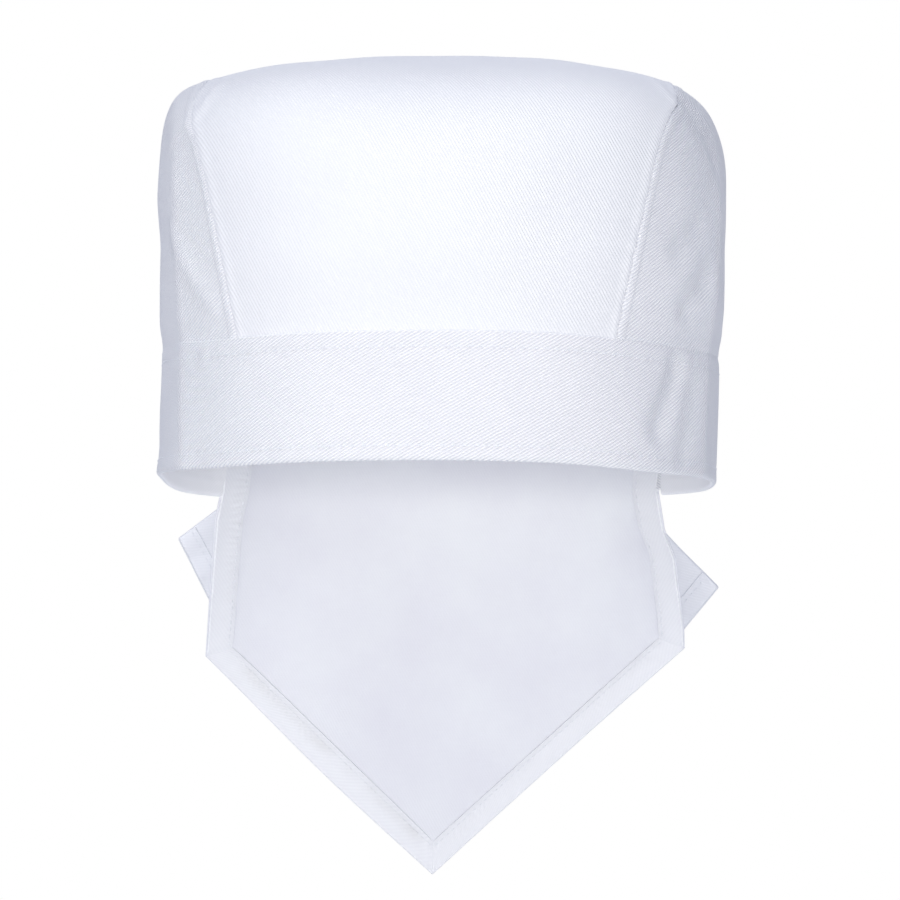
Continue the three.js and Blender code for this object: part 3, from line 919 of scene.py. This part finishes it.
def make_hem(name, outer, inner, ripple, slant):
    """A turned hem on the flap's inner face, between two lines of (x, z) points, and its stitches."""
    w = np.linspace(0, 1, HEM_COLUMNS)[None]
    flat = lerp(outer[:, None], inner[:, None], w[..., None])
    base = flap_point(flat[..., 0], flat[..., 1])
    normal = grid_normals(base, INSIDE_FLAP)
    along = arc_length(np.pad(outer, ((0, 0), (0, 1))))[:, None] + 0 * w
    width = w * FLAP_HEM + 0 * along
    wave = np.sin(2 * np.pi * (along + slant * width + soft_noise(along, width, 9, 61)) / HEM_RIPPLE)
    uneven = 0.6 + 0.4 * soft_noise(along, width * 0, 12, 62)
    to_mitre = np.minimum(along, along[-1] - along)
    lift = ripple * wave * uneven * smooth(width, 1.5, 5) * (1 - smooth(width, 5.8, FLAP_HEM))
    lift = lift * smooth(to_mitre, 3, 12) - MITRE_DIP * bump(to_mitre, 1.3)
    pillow = 0.22 * bump(width - 4.6, 2.4) - 0.25 * bump(width - FLAP_HEM, 0.7)
    face = 2 * CLOTH + 0.1 + lift + pillow
    front = base - normal * face[..., None]
    back = base - normal * (CLOTH + 0.03)
    piece = cloth(f"{name}_cloth", front, back, np.stack([along, width], -1), [hem_twill])
    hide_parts(name)
    bend_flap(piece)
    at = HEM_STITCH_COLUMN
    row = stitches(f"{name}_stitches", front[:, at], -normal[:, at], **HEM_STITCH)
    bend_flap(row)
    return [piece, row]


def mitre(before, corner, after):
    """Where the inner edges of two hems meet."""
    to_before, to_after = unit(before - corner), unit(after - corner)
    half_angle = math.acos(np.dot(to_before, to_after)) / 2
    return corner + unit(to_before + to_after) * FLAP_HEM / math.sin(half_angle)


def side_hem_lines(edge, corner, inner_corner):
    """The outer and inner lines of a side hem, from inside the band down to the mitred corner."""
    z = np.linspace(BACK_JOIN - 1, corner[1], 90)
    outer = np.stack([np.interp(z, *edge), z], 1)
    t = np.linspace(0, 1, 90)
    inner = np.stack([outer[:, 0] - np.sign(corner[0]) * FLAP_HEM, lerp(z[0], inner_corner[1], t)], 1)
    inner[:, 0] += (inner_corner[0] - inner[-1, 0]) * smooth(t, 0.5, 1)
    return outer, inner


def make_hems():
    left, tip, right = (np.array(p) for p in (LEFT_CORNER, FLAP_TIP, RIGHT_CORNER))
    above_left, above_right = (
        np.array([np.interp(corner[1] + 8, *edge), corner[1] + 8])
        for corner, edge in ((left, LEFT_EDGE), (right, RIGHT_EDGE)))
    inner_left, inner_tip, inner_right = (
        mitre(above_left, left, tip), mitre(left, tip, right), mitre(tip, right, above_right))
    t = np.linspace(0, 1, 110)
    to_tip, from_tip = lerp(inner_left, inner_tip, t[:, None]), lerp(inner_tip, inner_right, t[:, None])
    return (make_hem("flap_left_hem", *side_hem_lines(LEFT_EDGE, left, inner_left), 0.24, 0)
            + make_hem("flap_right_hem", *side_hem_lines(RIGHT_EDGE, right, inner_right), 0.14, 0)
            + make_hem("flap_lower_left_hem", flap_outline(t), to_tip, 0.55, 0.8)
            + make_hem("flap_lower_right_hem", flap_outline(lerp(JUST_PAST_TIP, 2, t)), from_tip, 0.18, 0.3))


# -------------------- straps, knot, ties

TIE_WIDTH = 38.0
TIE_THICKNESS = 1.5  # two layers of cloth
ROOT_LENGTH = 6.0  # from the knot to where the loose end swings
STRAP_START_WIDTH = 33.0  # where it is caught between the band's layers
STRAP_CAUGHT = 4.5  # how far it reaches in between them
TIE_HEM = 7.5
TIE_ARCH = {-1: 1.5, 1: -2.2}  # how far a loose end arches up, or sags, on its way down
TIE_SKEW = {-1: 6.5, 1: 4.0}  # how much longer its lower edge is
PLEATS = 2.5
BUNDLE_WIDTH = 9.0
KNOT_REACH = 17.0


def knot_centre():
    low_left, high_left = box_mm("left_knot_turn")
    low_right, high_right = box_mm("right_knot_turn")
    return np.array([0, (low_right[1] + high_right[1]) / 2, (low_left[2] + high_left[2]) / 2])


KNOT = knot_centre()
KNOT_TILT = math.radians(20)
STRAND_SIDE = {-1: np.array([0, -math.sin(KNOT_TILT), math.cos(KNOT_TILT)]),
               1: np.array([0, -math.cos(KNOT_TILT), -math.sin(KNOT_TILT)])}


def strand_end(side, tie):
    """Where the strap (tie=1 the tie) meets its half of the knot."""
    reach = -8 if tie else 8
    return np.array([side * KNOT_REACH, 0, 0]) + np.array([0, KNOT[1], KNOT[2]]) + STRAND_SIDE[side] * reach


def strap_path(side):
    """From the band's end over the back of the cap to the knot."""
    end = strand_end(side, False)
    stop = math.atan2(end[1], abs(end[0]))
    azimuth = np.linspace(BAND_END - STRAP_CAUGHT / HALF_DEPTH, stop, 70)
    t = np.linspace(0, 1, 70)
    clear = outline_radius(azimuth, BAND_THIN / 2) + 4.5 * smooth(t, 0.05, 0.6)
    radius = lerp(clear, np.hypot(end[0], end[1]), smooth(t, 0.5, 1))
    path = round_axis(radius, azimuth, BAND_HEIGHT / 2) * (side, 1, 1)
    path[:, 2] = lerp(path[0, 2] + band_drop(path[0]), end[2], smooth(t, 0.1, 1))
    return path


def knot_path(side):
    """In along one strand, round the other tie and out along the other strand."""
    tight = 6.0
    apex = 4.6
    turn = np.linspace(0, np.pi, 24)
    sideways = -side * (apex - tight + tight * np.sin(turn))
    bend = (np.array([0, KNOT[1], KNOT[2]]) + np.cos(turn)[:, None] * tight * STRAND_SIDE[side])
    bend = bend + sideways[:, None] * np.array([1, 0, 0])
    legs_in = lerp(strand_end(side, False), bend[0], np.linspace(0, 1, 12)[:-1, None])
    legs_out = lerp(bend[-1], strand_end(side, True), np.linspace(0, 1, 12)[1:, None])
    return np.concatenate([legs_in, bend, legs_out])


def tie_tip(side, name):
    """Middle of the tie's loose end, from the corners of its hem's box."""
    low, high = box_mm(f"{name}_tie_end_hem")
    root = strand_end(side, True)
    corner_x = low[0] if side < 0 else high[0]
    tip = np.array([corner_x, root[1], low[2]])
    for _ in range(20):
        direction = unit(tip - root)
        tip = np.array([corner_x - side * TIE_WIDTH / 2 * abs(direction[2]), root[1],
                        low[2] + TIE_WIDTH / 2 * abs(direction[0])])
    return tip


class Tie:
    """One strip of cloth from the band's end, through the knot to its loose end."""

    def __init__(self, side, name):
        strap, knot = strap_path(side), knot_path(side)
        root, tip = strand_end(side, True), tie_tip(side, name)
        t = np.linspace(0, 1, 90)[1:, None]
        loose = lerp(root, tip, t) + TIE_ARCH[side] * bump(t - 0.7, 0.25) * np.array([0, 0, 1])
        whole = resample(np.concatenate([strap, knot[1:], loose]), 0.8)
        self.side, self.name = side, name
        self.path = smooth_path(whole, 12)
        self.along = arc_length(self.path)
        self.strap_length = arc_length(strap)[-1]
        self.knot_length = arc_length(knot)[-1]
        self.exit = self.strap_length + self.knot_length
        self.length = self.along[-1]
        self.forward = unit(np.gradient(self.path, axis=0))
        self.wide = self.width_direction()

    def width_direction(self):
        """The strip's width is upright on the strap, turns flat through the knot and upright again."""
        upright = np.array([0, 0, 1.0])
        flat = unit(np.cross(np.array([self.side, 0, 0]), STRAND_SIDE[self.side]))
        s = self.along
        in_knot = smooth(s, self.strap_length - 18, self.strap_length + 4)
        in_knot = in_knot * (1 - smooth(s, self.exit - 6, self.exit + 14))
        wide = lerp(upright, flat, in_knot[:, None])
        wide = wide - np.sum(wide * self.forward, 1)[:, None] * self.forward
        return unit(wide)

    def width(self):
        s = self.along
        gathered = smooth(s, 8, self.strap_length) * (1 - smooth(s, self.exit, self.exit + 38))
        full = lerp(STRAP_START_WIDTH, TIE_WIDTH, smooth(s, 0, 20))
        return lerp(full, BUNDLE_WIDTH, gathered)

    def band_shape(self, s, middle):
        """Where the strap is caught in the band it follows the band's own waves and dents."""
        azimuth = azimuth_of(middle)
        relief = band_relief(round_cap(azimuth), middle[..., 2])
        relief = relief * (1 - smooth(s, STRAP_CAUGHT, STRAP_CAUGHT + 6))
        return round_axis(relief, azimuth, 0)

    def grids(self, start, end):
        """Back and front faces of the strip between two distances, and the cloth's own coordinates."""
        first, last = np.searchsorted(self.along, (start, end))
        keep = slice(first, min(last, len(self.along) - 1) + 1)
        w = np.linspace(-0.5, 0.5, 61)
        width = self.width()[keep][:, None]
        fold = np.sqrt(np.clip(TIE_WIDTH ** 2 - width ** 2, 0, None)) / (4 * PLEATS) * 0.72
        s = self.along[keep][:, None]
        fold = fold * smooth(s, 5, 20)
        loose = smooth(s, self.exit, self.exit + 30)
        fold = fold * (1 + 0.25 * soft_noise(s, w * 60, 14, 71 + self.side)) + loose * 0.35
        shift = 0.12 * soft_noise(s, w * 30, 20, 75 + self.side)
        wave = np.cos(2 * np.pi * PLEATS * (w + 0.5 + shift * (1 - loose * 0.5)))
        normal = np.cross(self.forward[keep], self.wide[keep])
        skewed = TIE_SKEW[self.side] * (0.5 - w) * smooth(s, self.length - 30, self.length)
        middle = (self.path[keep][:, None] + self.wide[keep][:, None] * (width * w)[..., None]
                  + self.forward[keep][:, None] * skewed[..., None]
                  + normal[:, None] * (fold * wave)[..., None])
        billow = soft_noise(s + 50, w * TIE_WIDTH, 24, 81 + self.side) * 0.8 * loose
        middle = middle + normal[:, None] * billow[..., None]
        middle = middle + self.band_shape(s, middle)
        out = unit(np.cross(np.gradient(middle, axis=0), np.gradient(middle, axis=1)))
        half = -self.side * lerp(0.3, TIE_THICKNESS / 2, smooth(s, STRAP_CAUGHT, STRAP_CAUGHT + 8))[..., None]
        grain = np.stack(np.broadcast_arrays(s, w * TIE_WIDTH), -1)
        return middle + out * half, middle - out * half, grain


def make_tie(side, name):
    tie = Tie(side, name)
    pivot = tie.exit + ROOT_LENGTH
    strap, turn, root = (
        cloth(f"{name}_{part}_cloth", *tie.grids(start, end), level_cloth)
        for part, start, end in (("strap", 0, tie.strap_length), ("knot", tie.strap_length, tie.exit),
                                 ("tie_root", tie.exit, pivot)))
    finish_piece(strap, "cap", "twill", f"{name}_strap")
    finish_piece(turn, "cap", "twill", f"{name}_knot_turn")
    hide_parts(f"{name}_tie_root")
    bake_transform(root)
    back, front, grain = tie.grids(pivot, tie.length)
    end = cloth(f"{name}_tie_end_cloth", back, front, grain, [level_twill, hem_twill])
    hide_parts(f"{name}_tie_end")
    hem, row = tie_hem(name, back, front, grain)
    for piece in (end, hem, row):
        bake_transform(piece)


def tie_hem(name, back, front, grain):
    """The turned hem across a tie's loose end, on its front face, and its stitches."""
    rows = int(round(TIE_HEM / (grain[-1, 0, 0] - grain[-2, 0, 0])))
    forward = unit(front - back)[-rows:]
    under = front[-rows:] + forward * 0.05
    over = front[-rows:] + forward * 0.6
    hem = cloth(f"{name}_tie_end_hem_cloth", over, under, grain[-rows:], [hem_twill])
    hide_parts(f"{name}_tie_end_hem")
    row = stitches(f"{name}_tie_end_stitches", over[2], forward[2], **HEM_STITCH)
    return hem, row


# -------------------- light and floor

FLOOR_Z = -0.25
FILL_COLOUR, FILL_STRENGTH = (0.80, 0.86, 1.1, 1), 0.41


def make_light(name, where, size, power, colour):
    data = bpy.data.lights.new(name, "AREA")
    data.shape = "RECTANGLE"
    data.size, data.size_y = size
    data.energy = power
    data.color = colour
    link_facing(name, data, where, (0, 0, 0))


def make_world():
    world = bpy.data.worlds.new("studio")
    world.use_nodes = True
    tree = world.node_tree
    backdrop = tree.nodes["Background"]
    backdrop.inputs["Color"].default_value = (1, 1, 1, 1)
    fill = tree.nodes.new("ShaderNodeBackground")
    fill.inputs["Color"].default_value = FILL_COLOUR
    fill.inputs["Strength"].default_value = FILL_STRENGTH
    seen = tree.nodes.new("ShaderNodeLightPath")
    mix = tree.nodes.new("ShaderNodeMixShader")
    tree.links.new(seen.outputs["Is Camera Ray"], mix.inputs[0])
    tree.links.new(fill.outputs[0], mix.inputs[1])
    tree.links.new(backdrop.outputs[0], mix.inputs[2])
    tree.links.new(mix.outputs[0], tree.nodes["World Output"].inputs["Surface"])
    bpy.context.scene.world = world


def make_floor():
    bpy.ops.mesh.primitive_circle_add(vertices=128, radius=2.4, fill_type="NGON", location=(0, 0, FLOOR_Z))
    floor = bpy.context.object
    floor.name = "floor"
    m = Nodes("floor")
    speckle = m.noise(m.add("ShaderNodeTexCoord").outputs["Object"], 60, 4)
    m.paint(m.mix(speckle, (0.86, 0.86, 0.86), (0.92, 0.92, 0.92)), 0.9)
    floor.data.materials.append(m.material)


def make_studio():
    make_world()
    make_floor()
    make_light("key", (0.08, -1.8, -0.2), (3.4, 0.5), 38.5, (1.0, 0.97, 0.90))
    make_light("high", (-0.4, -0.8, 1.75), (1.4, 1.4), 16, (0.97, 0.98, 1.0))
    make_light("back", (0, 2.0, 0.7), (1.2, 1.2), 18, (1.0, 0.99, 0.97))
    bpy.context.scene.view_settings.view_transform = "Standard"


# -------------------- assembly

make_centre_panel()
make_side_panel(-1, "left")
make_side_panel(1, "right")
make_band()
make_flap()
make_tie(-1, "left")
make_tie(1, "right")
make_studio()
